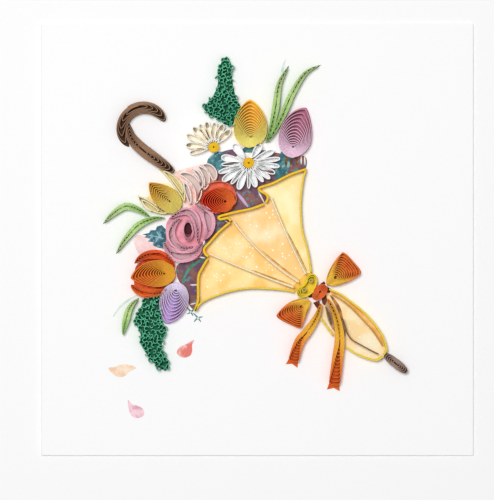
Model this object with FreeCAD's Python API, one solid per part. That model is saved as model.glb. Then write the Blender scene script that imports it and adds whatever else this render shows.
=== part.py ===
import FreeCAD, Part
import math
import os

os.makedirs("parts", exist_ok=True)

# Quilled greeting card: a folded square card lying flat, picture side up, with its fold on the left.
# Millimetres. The origin is the middle of the underside, +Y is the top of the picture.
card_side = 152.4
leaf_thickness = 0.35
leaf_gap = 0.4

# Paper strip that the pieces are rolled from. It stands on edge, glued to the card.
strip_height = 3.0
strip_thickness = 0.25
turn_gap = 0.04
inner_turn = 0.12  # last turn of a coil, as a share of its outline
tightest_turn = 1.8  # smallest half width that a strip bends round, in strip thicknesses
bend_allowance = 1.4  # extra pitch where the whole coil is bent, as a share of what its bend takes up
pinch_fade = 2.0  # how fast the pinched ends turn round from turn to turn
turn_steps = 10

# Heavier strips that stand along the edges and ribs of the canopy
edging_thickness = 0.45
rib_thickness = 0.6
inner_edging_thickness = 0.3

# Widest place of each coil
crook_width = 4.2
shaft_width = 4.3
yellow_width = 12.0
mauve_width = 12.0
lavender_width = 10.0
red_width = 11.2
tulip_heart_width = 8.4
orange_heart_width = 9.4
tulip_petal_width = 2.7
orange_petal_width = 3.0
blush_petal_width = 2.5
rose_petal_width = 3.2
rose_cup_width = 3.9
grass_width = 2.5
knot_width = 4.4
bow_loop_width = 9.8
bow_tail_width = 3.6
tip_coil_width = 3.2
collar_width = 4.3
bead_diameter = 1.2
daisy_centre_diameter = 3.7
daisy_petal_width = 2.4
daisy_petal_gap = 0.2

# Curls of the leaf sprays
curl_radius = 0.95
curl_spacing = 2.6
curl_sweep = 250.0
curl_steps = 3

# The places below are measured from the middle of a card with this side
picture_side = 152.4
picture_scale = card_side / picture_side
card_top = 2 * leaf_thickness + leaf_gap


def spine_edge(places):
    """The line that a piece lies along: straight, an arc, or a smooth curve through the places."""
    points = [FreeCAD.Vector(x * picture_scale, y * picture_scale, card_top) for x, y in places]
    if len(points) == 2:
        return Part.LineSegment(points[0], points[1]).toShape()
    if len(points) == 3:
        return Part.Arc(points[0], points[1], points[2]).toShape()
    curve = Part.BSplineCurve()
    curve.interpolate(points)
    return curve.toShape()


def beside(edge, distance, aside):
    """The point at a distance along the line, and aside of it to the left."""
    spot = edge.getParameterByLength(min(max(distance, 0.0), edge.Length))
    tangent = edge.tangentAt(spot)
    return edge.valueAt(spot) + FreeCAD.Vector(-tangent.y, tangent.x, 0) * aside


def turning(edge):
    """How far a line turns in all, in radians."""
    stations = [edge.getParameterByLength(edge.Length * place / 8) for place in range(9)]
    tangents = [edge.tangentAt(station) for station in stations]
    return sum(first.getAngle(second) for first, second in zip(tangents, tangents[1:]))


def stand_strip(points, thickness):
    """A strip of paper on edge: the line is thickened evenly to both sides and raised."""
    left = []
    right = []
    for place, point in enumerate(points):
        before = points[max(place - 1, 0)]
        after = points[min(place + 1, len(points) - 1)]
        arriving = point - before if place > 0 else after - point
        leaving = after - point if place < len(points) - 1 else arriving
        first = FreeCAD.Vector(-arriving.y, arriving.x, 0).normalize()
        second = FreeCAD.Vector(-leaving.y, leaving.x, 0).normalize()
        mitre = (first + second).normalize()
        reach = thickness / 2 / max(mitre.dot(first), 0.6)
        left.append(point + mitre * reach)
        right.append(point - mitre * reach)
    outline = left + right[::-1]
    face = Part.Face(Part.makePolygon(outline + outline[:1]))
    return face.extrude(FreeCAD.Vector(0, 0, strip_height))


def half_width(along, half, widest, ends, fullness):
    """Half the width of a coil at a share of its length. An end of 0.5 is round, of 1 is a point."""
    if along < widest:
        share = along / widest
        power = ends[0]
    else:
        share = (1 - along) / (1 - widest)
        power = ends[1]
    return half * max(1 - (1 - share) ** fullness, 0.0) ** power


def coil(
    spine, width, widest, ends, core, turns, seam,
    steps=turn_steps, fullness=2.0, inner=inner_turn, loose=1.0,
):
    """
    A strip rolled up and pinched to shape. The outline lies along the spine, each turn is the outline
    drawn in towards the core, and the corners of the inner turns are rounder. A core off the middle
    packs the turns on one side and leaves them open on the other, and a loose above 1 opens the outer
    turns further than the inner ones. There are as many turns as asked for, or as fit between the core
    and the nearest side.
    """
    edge = spine_edge(spine)
    length = edge.Length
    half = (width * picture_scale - strip_thickness) / 2 / math.sqrt(math.cos(math.pi / steps))
    core_along = core[0] * length
    core_aside = core[1] * half_width(core[0], half, widest, ends, fullness)

    def flat_point(angle, size):
        share = (1 - math.cos(angle)) / 2
        rounder = [0.5 + (end - 0.5) * size ** pinch_fade for end in ends]
        aside = half_width(share, half, widest, rounder, fullness)
        if math.sin(angle) < 0:
            aside = -aside
        to_open = 1 - share if core[0] > 0.5 else share
        reach = size + (size ** loose - size) * to_open ** 2 * (3 - 2 * to_open)
        along = core_along + reach * (share * length - core_along)
        return (along, core_aside + size * (aside - core_aside))

    room = length
    for step in range(36):
        x1, y1 = flat_point(step * math.pi / 18, 1.0)
        x2, y2 = flat_point((step + 1) * math.pi / 18, 1.0)
        side = math.hypot(x2 - x1, y2 - y1)
        away = abs((x2 - x1) * (core_aside - y1) - (y2 - y1) * (core_along - x1)) / side
        room = min(room, away)
    inner = max(inner, min(tightest_turn * strip_thickness / room, 0.75))
    bend = length * turning(edge) * math.sin(math.pi / steps) ** 2 / 8
    pitch = strip_thickness + turn_gap + bend_allowance * bend
    turns = min(turns, (1 - inner) * room / pitch)
    count = max(int(turns * steps), int(0.75 * steps))

    points = []
    for step in range(count + 1):
        size = 1 - (1 - inner) * step / count
        angle = 2 * math.pi * (seam + step / steps)
        along, aside = flat_point(angle, size)
        after_tip = abs(flat_point(angle + 2 * math.pi / steps, size)[1] - aside)
        at_tip = abs(math.cos(angle)) > 0.99
        if at_tip and step > steps / 2 and after_tip < strip_thickness:
            break  # the pinched end is too narrow for one more turn
        points.append(beside(edge, along, aside))
    return stand_strip(points, strip_thickness)


def edging(places, steps, thickness):
    """A strip that follows an edge of the picture."""
    edge = spine_edge(places)
    points = [beside(edge, edge.Length * step / steps, 0) for step in range(steps + 1)]
    return stand_strip(points, thickness)


def folded_card():
    """One sheet folded in half: two leaves joined by a round fold along the left side."""
    right = card_side / 2
    outer = card_top / 2
    inner = leaf_gap / 2
    fold = -card_side / 2 + outer

    def at(x, z):
        return FreeCAD.Vector(x, -card_side / 2, z)

    high = outer + inner
    low = outer - inner
    outer_fold = Part.Arc(at(fold, 0), at(fold - outer, outer), at(fold, card_top)).toShape()
    inner_fold = Part.Arc(at(fold, high), at(fold - inner, outer), at(fold, low)).toShape()
    sides = [
        Part.makeLine(at(right, 0), at(fold, 0)),
        outer_fold,
        Part.makeLine(at(fold, card_top), at(right, card_top)),
        Part.makeLine(at(right, card_top), at(right, high)),
        Part.makeLine(at(right, high), at(fold, high)),
        inner_fold,
        Part.makeLine(at(fold, low), at(right, low)),
        Part.makeLine(at(right, low), at(right, 0)),
    ]
    return Part.Face(Part.Wire(sides)).extrude(FreeCAD.Vector(0, card_side, 0))


def handle():
    """The hooked handle is a bent coil, the shaft below it a straighter one."""
    crook = [(-32.8, 41.7), (-45.3, 44.0), (-45.0, 32.8)]
    shaft = [
        (-45.1, 40.6), (-44.6, 36.8), (-42.9, 34.0), (-39.5, 30.9), (-36.0, 28.3), (-32.5, 25.9),
        (-29.4, 24.0),
    ]
    hooked = coil(crook, crook_width, 0.5, (0.5, 0.8), (0.45, -0.2), 4, 0.75, 20, fullness=4)
    straight = coil(shaft, shaft_width, 0.45, (0.9, 0.4), (0.5, 0.0), 4, 0.25, 12, fullness=2.6)
    return {
        "handle_crook_coil": hooked,
        "handle_shaft_coil": straight,
    }


def buds():
    """Four pinched drops, each with its core near the round end."""
    yellow = [(-2.5, 49.1), (-2.1, 32.5)]
    mauve = [(17.4, 46.2), (14.6, 40.5), (13.2, 29.0)]
    lavender = [(-32.3, -29.7), (-29.6, -22.5), (-28.0, -15.5)]
    red_orange = [(-21.1, 14.6), (-7.4, 15.0)]
    drop = (0.75, 0.5)
    return {
        "yellow_bud_coil": coil(yellow, yellow_width, 0.62, (0.7, 0.5), (0.75, 0.0), 6, 0.5, loose=1.25),
        "mauve_bud_coil": coil(mauve, mauve_width, 0.62, drop, (0.77, 0.0), 6, 0.5, loose=1.25),
        "lavender_bud_coil": coil(lavender, lavender_width, 0.6, drop, (0.78, 0.0), 5, 0.5, loose=1.2),
        "red_orange_bud_coil": coil(red_orange, red_width, 0.58, (0.7, 0.5), (0.6, 0.0), 6, 0.5),
    }


def tulips():
    """Two tulips, each a round heart between two curved petals."""
    yellow_upper = [(-34.9, 24.6), (-28.8, 20.0), (-25.7, 12.8)]
    yellow_heart = [(-38.1, 19.8), (-33.2, 15.4), (-27.0, 10.9)]
    yellow_lower = [(-42.0, 15.2), (-37.7, 11.5), (-30.0, 8.6)]
    orange_upper = [(-43.1, -8.6), (-36.0, -5.4), (-29.0, -9.8)]
    orange_heart = [(-44.5, -13.8), (-37.0, -12.1), (-28.9, -12.4)]
    orange_lower = [(-44.3, -16.0), (-38.7, -18.9), (-31.4, -17.1)]
    petal = tulip_petal_width
    broad = orange_petal_width
    return {
        "yellow_tulip_upper_petal": coil(yellow_upper, petal, 0.5, (0.9, 0.9), (0.5, 0.1), 3, 0.25, 12),
        "yellow_tulip_heart": coil(yellow_heart, tulip_heart_width, 0.62, (0.85, 0.5), (0.66, 0.0), 5, 0.5),
        "yellow_tulip_lower_petal": coil(yellow_lower, petal, 0.4, (0.75, 0.85), (0.4, -0.1), 3, 0.75, 12),
        "orange_tulip_upper_petal": coil(orange_upper, broad, 0.5, (0.7, 0.8), (0.5, 0.1), 3, 0.25, 12),
        "orange_tulip_heart": coil(orange_heart, orange_heart_width, 0.62, (0.8, 0.5), (0.7, 0.0), 5, 0.5),
        "orange_tulip_lower_petal": coil(orange_lower, broad, 0.42, (0.7, 0.8), (0.42, -0.1), 3, 0.75, 12),
    }


def blush_flower():
    """Five pale petals side by side."""
    first = [(-27.3, 23.0), (-22.5, 20.9), (-22.0, 12.1)]
    second = [(-22.8, 24.4), (-19.9, 21.3), (-20.3, 16.9)]
    third = [(-20.6, 25.5), (-18.0, 22.6), (-19.0, 17.4)]
    fourth = [(-19.1, 26.0), (-15.8, 23.9), (-15.5, 20.7)]
    curl = [(-25.5, 19.9), (-24.2, 16.0), (-23.6, 12.1)]
    petal = blush_petal_width
    slim = petal * 0.5
    return {
        "blush_petal_left": coil(first, petal, 0.45, (0.6, 0.9), (0.45, -0.1), 3, 0.75, 12),
        "blush_petal_middle": coil(second, slim, 0.45, (0.7, 0.8), (0.45, 0.0), 2, 0.75, 8),
        "blush_petal_right": coil(third, petal * 0.7, 0.45, (0.7, 0.9), (0.45, 0.0), 2, 0.75, 8),
        "blush_petal_end": coil(fourth, petal * 1.1, 0.6, (0.7, 0.6), (0.6, 0.0), 3, 0.75, 8),
        "blush_petal_curl": coil(curl, petal * 0.7, 0.4, (0.6, 0.8), (0.4, 0.0), 2, 0.75, 8),
    }


def rose():
    """Four wide petals wrapped round a small open cup."""
    top = [(-30.9, 7.1), (-27.9, 9.1), (-24.7, 9.8), (-22.2, 8.2), (-21.0, 4.7), (-20.9, -1.3)]
    right = [(-21.5, 11.9), (-17.1, 6.8), (-18.9, -0.3)]
    left = [(-26.8, 7.0), (-30.3, 2.2), (-22.6, -2.4)]
    bottom = [(-32.5, -1.1), (-25.9, -6.1), (-19.5, -1.0)]
    centre = [(-24.3, 6.8), (-24.3, -0.6)]
    petal = rose_petal_width
    round_ends = (0.5, 0.5)
    return {
        "rose_petal_top": coil(top, petal * 0.8, 0.5, (0.7, 0.8), (0.45, 0.0), 1.2, 0.25, 16),
        "rose_petal_right": coil(right, petal * 1.45, 0.45, (0.8, 0.9), (0.45, -0.2), 4, 0.75, 12),
        "rose_petal_left": coil(left, petal * 0.9, 0.5, (0.7, 0.8), (0.5, 0.0), 3, 0.75, 16),
        "rose_petal_bottom": coil(bottom, petal * 1.3, 0.5, (0.7, 0.7), (0.5, -0.1), 4, 0.75, 16),
        "rose_centre_coil": coil(centre, rose_cup_width, 0.5, round_ends, (0.5, 0.0), 2, 0.25, 8, 2.0, 0.5),
    }


def daisy(name, centre, tips):
    """A tight round roll with slim looped petals standing round it."""
    x, y = centre
    reach = daisy_centre_diameter / 2
    offsets = [(tip_x - x, tip_y - y) for tip_x, tip_y in tips]
    around = sorted((math.atan2(up, across), math.hypot(across, up)) for across, up in offsets)
    start = reach + daisy_petal_gap + strip_thickness
    petals = []
    for place, (angle, length) in enumerate(around):
        before = (angle - around[place - 1][0]) % math.tau
        after = (around[(place + 1) % len(around)][0] - angle) % math.tau
        nearest = min(before, after)
        widest = 0.65
        room = 2 * (start + widest * (length - start)) * math.sin(nearest / 2) - daisy_petal_gap
        spine = [
            (x + start * math.cos(angle), y + start * math.sin(angle)),
            (x + length * math.cos(angle), y + length * math.sin(angle)),
        ]
        width = min(daisy_petal_width, room)
        petals.append(coil(spine, width, widest, (0.8, 0.5), (0.6, 0.0), 1, 0.0, 8, inner=0.72))
    roll = [(x - reach, y), (x + reach, y)]
    return {
        name + "_petals": Part.makeCompound(petals),
        name + "_centre": coil(roll, daisy_centre_diameter, 0.5, (0.5, 0.5), (0.5, 0.0), 3, 0.25, 8),
    }


def daisies():
    cream_tips = [
        (-25.0, 33.2), (-24.9, 36.8), (-22.6, 39.4), (-20.3, 40.6), (-18.0, 41.4),
        (-15.0, 41.2), (-11.8, 40.0), (-9.6, 37.6), (-23.6, 30.4),
    ]
    white_tips = [
        (-8.1, 33.8), (-12.7, 29.4), (-13.8, 26.5), (-13.3, 23.2), (-11.4, 21.2), (-9.0, 19.2),
        (-6.4, 17.6), (-2.5, 17.4), (-0.2, 18.9), (1.8, 20.6), (4.5, 21.6), (6.6, 23.6),
        (7.8, 25.9), (8.3, 28.4), (5.6, 30.8), (1.4, 33.2),
    ]
    pieces = daisy("cream_daisy", (-15.3, 32.4), cream_tips)
    pieces.update(daisy("white_daisy", (-3.0, 26.9), white_tips))
    return pieces


def grass():
    """Slim blades, pointed at both ends."""
    blades = {
        "grass_upper_left": [(11.3, 61.3), (7.9, 54.8), (6.7, 47.4), (5.1, 39.6), (4.4, 35.6)],
        "grass_upper_right": [(22.6, 61.5), (16.9, 58.3), (12.0, 50.5), (8.9, 43.6)],
        "grass_left_pale": [(-54.3, 5.4), (-46.4, 11.2), (-37.4, 7.6)],
        "grass_left_broad": [(-49.7, -5.2), (-43.3, 3.3), (-32.8, 7.4)],
        "grass_lower": [(-41.6, -20.7), (-44.6, -23.9), (-46.2, -28.5), (-47.3, -33.8)],
    }
    pointed = (0.9, 0.9)
    return {
        name: coil(spine, grass_width, 0.5, pointed, (0.5, 0.0), 1.2, 0.25, 16)
        for name, spine in blades.items()
    }


def leaf_spray(outline):
    """Small loose curls set side by side inside the outline of a spray."""
    points = [FreeCAD.Vector(x * picture_scale, y * picture_scale, card_top) for x, y in outline]
    border = Part.makePolygon(points + points[:1])
    face = Part.Face(border)
    box = face.BoundBox
    step = curl_spacing * picture_scale
    radius = curl_radius
    curls = []
    rows = int(box.YLength / step) + 1
    columns = int(box.XLength / step) + 1
    for row in range(rows):
        for column in range(columns):
            x = box.XMin + (column + 0.25 + 0.5 * (row % 2)) * step
            y = box.YMin + (row + 0.5) * step
            middle = FreeCAD.Vector(x, y, card_top)
            if not face.isInside(middle, 0.01, True):
                continue
            if border.distToShape(Part.Vertex(middle))[0] < radius * 0.9:
                continue
            turned = 137.5 * (row * columns + column)
            points = []
            for place in range(curl_steps + 1):
                angle = math.radians(turned + curl_sweep * place / curl_steps)
                shrunk = radius * (1 - 0.45 * place / curl_steps)
                points.append(middle + FreeCAD.Vector(math.cos(angle), math.sin(angle), 0) * shrunk)
            curls.append(stand_strip(points, strip_thickness))
    return Part.makeCompound(curls)


def leaf_sprays():
    upper = [
        (-10.8, 64.4), (-13.6, 60.4), (-14.3, 54.4), (-16.0, 50.5), (-18.4, 46.5), (-16.6, 44.4),
        (-13.5, 42.7), (-10.6, 41.2), (-8.6, 41.4), (-7.4, 43.4), (-6.0, 46.3), (-7.4, 49.8), (-8.3, 56.2),
        (-8.7, 61.1),
    ]
    lower = [
        (-41.0, -19.9), (-34.0, -20.2), (-33.7, -25.3), (-33.7, -30.2), (-31.9, -32.4), (-32.9, -35.5),
        (-33.3, -39.1), (-31.3, -43.3), (-32.2, -46.6), (-36.2, -44.0), (-39.2, -40.4), (-41.3, -36.6),
        (-41.5, -33.1), (-43.6, -28.5), (-41.7, -25.0),
    ]
    return {
        "upper_leaf_spray": leaf_spray(upper),
        "lower_leaf_spray": leaf_spray(lower),
    }


def canopy():
    """Edging strips along the scalloped rim and the two sides, and ribs across the canopy."""
    rim = {
        "rim_scallop_first": [
            (17.0, 24.7), (11.6, 22.7), (5.6, 19.7), (0.9, 18.1), (1.2, 17.0), (3.2, 15.8), (3.8, 14.4),
            (3.0, 12.8),
        ],
        "rim_scallop_second": [
            (1.9, 12.1), (-2.5, 10.6), (-7.8, 9.4), (-13.0, 7.9), (-12.9, 6.9), (-10.6, 7.2), (-9.3, 6.5),
        ],
        "rim_scallop_third": [
            (-9.5, 5.6), (-13.1, 2.9), (-16.2, -0.6), (-18.3, -3.2), (-18.3, -4.9), (-17.3, -6.1),
        ],
        "rim_scallop_fourth": [
            (-17.5, -7.3), (-19.1, -9.8), (-20.5, -12.6), (-20.8, -16.1), (-20.8, -21.4), (-21.7, -24.2),
        ],
    }
    sides = {
        "canopy_edge_right": [
            (17.1, 23.9), (16.2, 20.9), (15.5, 15.6), (15.3, 10.3), (15.9, 3.3), (17.3, -2.0),
            (18.2, -7.1), (18.6, -11.0),
        ],
        "canopy_edge_lower": [
            (-21.6, -25.3), (-20.1, -22.8), (-16.6, -20.7), (-9.5, -18.3), (-2.5, -17.2), (4.6, -17.4),
            (9.9, -17.9), (12.4, -18.2),
        ],
    }
    ribs = {
        "canopy_rib_upper": [(4.9, 14.3), (10.0, 2.5), (17.0, -12.0)],
        "canopy_rib_middle": [(-8.3, 6.3), (1.1, -4.5), (14.3, -14.9)],
        "canopy_rib_lower": [(-16.5, -5.2), (-2.5, -11.2), (12.3, -16.9)],
    }
    pieces = {name: edging(places, 10, edging_thickness) for name, places in rim.items()}
    pieces.update({name: edging(places, 8, edging_thickness) for name, places in sides.items()})
    pieces.update({name: edging(places, 4, rib_thickness) for name, places in ribs.items()})
    return pieces


def bead(middle):
    """A small round roll."""
    x, y = middle
    across = [(x - bead_diameter / 2, y), (x + bead_diameter / 2, y)]
    return coil(across, bead_diameter, 0.5, (0.5, 0.5), (0.5, 0.0), 1, 0.0, 8)


def collar():
    """A bent loop that gathers the canopy, with two small rolls inside it."""
    loop = [(19.1, -12.1), (18.6, -16.3), (14.0, -18.9)]
    upper = (18.9, -14.6)
    lower = (16.5, -17.9)
    blunt = (0.4, 0.4)
    return {
        "collar_loop": coil(loop, collar_width, 0.5, blunt, (0.5, 0.0), 1, 0.25, 12, 3.0, 0.84),
        "collar_bead_upper": bead(upper),
        "collar_bead_lower": bead(lower),
    }


def bow():
    """An oval knot, two loops that fan out from it to a nearly straight edge, and two long tails."""
    knot = [(19.9, -21.0), (24.2, -16.4)]
    upper_loop = [(24.9, -15.8), (34.1, -7.7)]
    lower_loop = [(18.4, -21.9), (14.0, -25.1), (10.9, -29.7)]
    left_tail = [(22.5, -22.6), (21.0, -27.4), (17.8, -32.4), (14.8, -36.4), (12.6, -43.3)]
    right_tail = [(24.9, -20.9), (28.0, -27.8), (29.1, -34.8), (28.4, -41.9), (27.1, -51.8)]
    loop = bow_loop_width
    tail = bow_tail_width
    fan = (0.85, 0.3)
    squared = (0.65, 0.25)
    return {
        "bow_knot_coil": coil(knot, knot_width, 0.5, (0.5, 0.5), (0.5, 0.2), 3, 0.25, 8),
        "bow_loop_upper": coil(upper_loop, loop, 0.93, fan, (0.4, 0.0), 4, 0.0, 12, fullness=1.6),
        "bow_loop_lower": coil(lower_loop, loop * 0.96, 0.93, fan, (0.4, 0.0), 4, 0.0, 12, fullness=1.6),
        "bow_tail_left": coil(left_tail, tail, 0.92, squared, (0.6, 0.0), 2, 0.0, 14),
        "bow_tail_right": coil(right_tail, tail * 1.1, 0.92, squared, (0.6, 0.0), 2, 0.0, 14),
    }


def furled_point():
    """The gathered end of the canopy below the bow, with folds inside it, and the tip of the umbrella."""
    strips = {
        "point_edge_right": [
            (25.6, -17.6), (29.3, -19.3), (32.8, -21.8), (36.3, -24.6), (39.9, -28.1), (42.7, -31.7),
            (44.5, -34.8), (45.4, -38.2),
        ],
        "point_edge_left": [(22.4, -27.8), (24.3, -30.6), (26.5, -33.6)],
        "point_edge_lower": [(31.4, -38.0), (34.6, -40.1), (38.1, -41.7), (41.6, -42.6), (43.4, -41.9)],
    }
    folds = {
        "point_fold_right": [
            (26.5, -19.6), (29.3, -21.1), (32.8, -23.9), (36.3, -27.4), (39.9, -31.3), (42.0, -34.1),
            (44.0, -37.3),
        ],
        "point_fold_brown": [
            (30.2, -28.1), (31.1, -31.0), (31.9, -33.4), (33.5, -35.4), (36.7, -37.3), (40.2, -39.2),
            (42.6, -40.3),
        ],
        "point_fold_left": [(24.2, -23.9), (25.2, -27.0), (26.1, -30.0)],
    }
    pieces = {name: edging(places, 6, edging_thickness) for name, places in strips.items()}
    pieces.update({name: edging(places, 6, inner_edging_thickness) for name, places in folds.items()})
    tip = [(45.0, -40.6), (52.6, -46.7)]
    blunt = (0.4, 0.4)
    pieces["umbrella_tip_coil"] = coil(tip, tip_coil_width, 0.45, blunt, (0.5, 0.0), 3, 0.25, 8, 2.6)
    return pieces


solids = {"card": folded_card()}
for section in (
    handle, buds, tulips, blush_flower, rose, daisies, grass, leaf_sprays, canopy, collar, bow,
    furled_point,
):
    solids.update(section())

for node, shape in solids.items():
    shape.exportStep("parts/" + node + ".step")

print(len(solids), "nodes")
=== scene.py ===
import math
import random

import bpy
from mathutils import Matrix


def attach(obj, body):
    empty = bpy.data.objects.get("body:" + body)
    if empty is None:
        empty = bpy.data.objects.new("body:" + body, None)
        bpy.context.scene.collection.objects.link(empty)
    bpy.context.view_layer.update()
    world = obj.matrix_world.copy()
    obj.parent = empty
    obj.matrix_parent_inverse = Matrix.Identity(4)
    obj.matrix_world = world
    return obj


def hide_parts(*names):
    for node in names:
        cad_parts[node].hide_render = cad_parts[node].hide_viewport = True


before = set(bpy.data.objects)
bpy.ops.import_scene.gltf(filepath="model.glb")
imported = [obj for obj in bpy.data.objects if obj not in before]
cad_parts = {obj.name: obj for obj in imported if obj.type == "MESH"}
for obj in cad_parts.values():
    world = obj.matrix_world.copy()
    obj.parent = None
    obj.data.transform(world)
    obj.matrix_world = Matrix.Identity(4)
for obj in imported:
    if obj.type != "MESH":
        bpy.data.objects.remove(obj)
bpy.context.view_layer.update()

mm = 0.001
cardTop = 1.1  # height of the card's front leaf, mm; places below are mm from the middle of the card
stripHeight = 3.0
inkThickness = 0.02
coilPatch = 3.0  # size of the soft patches in the painted well shade and the floor under the coils, mm


# Small helpers

def pickNothing():
    if bpy.context.object and bpy.context.object.mode != "OBJECT":
        bpy.ops.object.mode_set(mode="OBJECT")
    bpy.ops.object.select_all(action="DESELECT")


def linearColor(hexText):
    values = []
    for start in (0, 2, 4):
        part = int(hexText[start:start + 2], 16) / 255
        values.append(part / 12.92 if part <= 0.04045 else ((part + 0.055) / 1.055) ** 2.4)
    return (values[0], values[1], values[2], 1.0)


def addNode(tree, kind, settings=None, inputs=None):
    made = tree.nodes.new("ShaderNode" + kind)
    for key, value in (settings or {}).items():
        setattr(made, key, value)
    for key, value in (inputs or {}).items():
        if isinstance(value, bpy.types.NodeSocket):
            tree.links.new(value, made.inputs[key])
        else:
            made.inputs[key].default_value = linearColor(value) if isinstance(value, str) else value
    return made


def startMaterial(name):
    material = bpy.data.materials.new(name)
    material.use_nodes = True
    material.node_tree.nodes.clear()
    place = addNode(material.node_tree, "TexCoord").outputs["Object"]
    return material, material.node_tree, place


def finishMaterial(tree, place, color, roughness, grainMm, grainDepth, detail=3.0):
    grain = addNode(tree, "TexNoise", {}, {"Vector": place, "Scale": 1 / (grainMm * mm), "Detail": detail})
    bump = addNode(tree, "Bump", {}, {
        "Strength": 0.5, "Distance": grainDepth * mm, "Height": grain.outputs["Fac"]})
    shader = addNode(tree, "BsdfPrincipled", {}, {
        "Base Color": color, "Roughness": roughness, "Specular IOR Level": 0.25,
        "Normal": bump.outputs["Normal"]})
    addNode(tree, "OutputMaterial", {}, {"Surface": shader.outputs["BSDF"]})


colorMix = {"data_type": "RGBA", "blend_type": "MIX"}
colorMultiply = {"data_type": "RGBA", "blend_type": "MULTIPLY"}
easedRange = {"interpolation_type": "SMOOTHSTEP"}


# Materials

def quillingPaper(name, startHex, endHex, wellHex, startPlace, endPlace, wallShade=0.8):
    # Dyed quilling paper: matt, blends from one tone to the other; its walls carry painted shade, darker than
    # the top edge and darkening down to the painted well tone at the card
    material, tree, place = startMaterial(name)
    dx, dy = endPlace[0] - startPlace[0], endPlace[1] - startPlace[1]
    reach = max(math.hypot(dx, dy), 0.1)
    offset = (startPlace[0] * dx + startPlace[1] * dy) / reach * mm
    along = addNode(tree, "VectorMath", {"operation": "DOT_PRODUCT"}, {
        0: place, 1: (dx / reach, dy / reach, 0.0)})
    blend = addNode(tree, "MapRange", easedRange, {
        "Value": along.outputs["Value"], "From Min": offset, "From Max": offset + reach * mm})
    body = addNode(tree, "Mix", colorMix, {0: blend.outputs["Result"], 6: startHex, 7: endHex}).outputs[2]
    height = addNode(tree, "SeparateXYZ", {}, {"Vector": place}).outputs["Z"]
    depth = addNode(tree, "MapRange", {}, {
        "Value": height, "From Min": cardTop * mm, "From Max": (cardTop + stripHeight) * mm})
    # painted shade: the walls darker than the top edge, and darker still towards the well tone at the bottom
    wallBody = addNode(tree, "Mix", colorMultiply, {
        0: 1.0, 6: body, 7: (wallShade, wallShade, wallShade, 1.0)})
    wall = addNode(tree, "Mix", colorMix, {0: depth.outputs["Result"], 6: wellHex, 7: wallBody.outputs[2]})
    normal = addNode(tree, "NewGeometry").outputs["Normal"]
    upward = addNode(tree, "SeparateXYZ", {}, {"Vector": normal}).outputs["Z"]
    onTop = addNode(tree, "MapRange", easedRange, {"Value": upward, "From Min": 0.4, "From Max": 0.8})
    paper = addNode(tree, "Mix", colorMix, {0: onTop.outputs["Result"], 6: wall.outputs[2], 7: body})
    fibre = addNode(tree, "TexNoise", {}, {"Vector": place, "Scale": 1 / (0.5 * mm), "Detail": 3.0})
    tone = addNode(tree, "MapRange", easedRange, {  # real fibres are finer; coarse enough to show
        "Value": fibre.outputs["Fac"], "From Min": 0.3, "From Max": 0.7, "To Min": 0.86, "To Max": 1.08})
    color = addNode(tree, "Mix", colorMultiply, {0: 1.0, 6: paper.outputs[2], 7: tone.outputs["Result"]})
    finishMaterial(tree, place, color.outputs[2], 0.85, 0.12, 0.04)
    return material


def printAndShadeInk(name, firstHex, secondHex, patchMm, thirdHex=None, thirdShare=0.6):
    # Flat matt ink on the card with soft patches of a second tone, like a watercolour: the card's print, and
    # also the painted shade in the coils' wells, under the daisies' petals, by the knot, between the tails
    # and beside the ribs
    material, tree, place = startMaterial(name)
    patches = addNode(tree, "TexNoise", {}, {"Vector": place, "Scale": 1 / (patchMm * mm), "Detail": 4.0})
    share = addNode(tree, "MapRange", easedRange, {
        "Value": patches.outputs["Fac"], "From Min": 0.38, "From Max": 0.62})
    color = addNode(tree, "Mix", colorMix, {0: share.outputs["Result"], 6: firstHex, 7: secondHex}).outputs[2]
    if thirdHex:
        moved = addNode(tree, "VectorMath", {"operation": "ADD"}, {0: place, 1: (0.31, 0.17, 0.0)})
        blobs = addNode(tree, "TexNoise", {}, {
            "Vector": moved.outputs["Vector"], "Scale": 1 / (patchMm * 0.8 * mm), "Detail": 3.0})
        spread = addNode(tree, "MapRange", easedRange, {
            "Value": blobs.outputs["Fac"], "From Min": thirdShare - 0.06, "From Max": thirdShare + 0.02})
        color = addNode(tree, "Mix", colorMix, {
            0: spread.outputs["Result"], 6: color, 7: thirdHex}).outputs[2]
    finishMaterial(tree, place, color, 0.7, 0.15, 0.02)
    return material


def canopyInk(name, paleHex, deepHex, dotHex, dotSpacingMm, dotShare):
    # Printed card: a warm watercolour wash scattered with white dots of mixed sizes
    material, tree, place = startMaterial(name)
    wash = addNode(tree, "TexNoise", {}, {"Vector": place, "Scale": 1 / (9.0 * mm), "Detail": 3.0})
    share = addNode(tree, "MapRange", easedRange, {
        "Value": wash.outputs["Fac"], "From Min": 0.36, "From Max": 0.62})
    color = addNode(tree, "Mix", colorMix, {0: share.outputs["Result"], 6: paleHex, 7: deepHex}).outputs[2]
    cells = addNode(tree, "TexVoronoi", {"feature": "F1"}, {
        "Vector": place, "Scale": 1 / (dotSpacingMm * mm), "Randomness": 0.9})
    pick = addNode(tree, "SeparateColor", {}, {"Color": cells.outputs["Color"]})
    size = addNode(tree, "MapRange", {}, {
        "Value": pick.outputs["Red"], "From Min": dotShare, "From Max": 1.0, "To Min": 0.05, "To Max": 0.3})
    edge = addNode(tree, "Math", {"operation": "SUBTRACT"}, {
        0: size.outputs["Result"], 1: cells.outputs["Distance"]})
    dots = addNode(tree, "MapRange", easedRange, {
        "Value": edge.outputs["Value"], "From Min": -0.06, "From Max": 0.06})
    color = addNode(tree, "Mix", colorMix, {0: dots.outputs["Result"], 6: color, 7: dotHex})
    finishMaterial(tree, place, color.outputs[2], 0.7, 0.15, 0.02)
    return material


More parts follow.
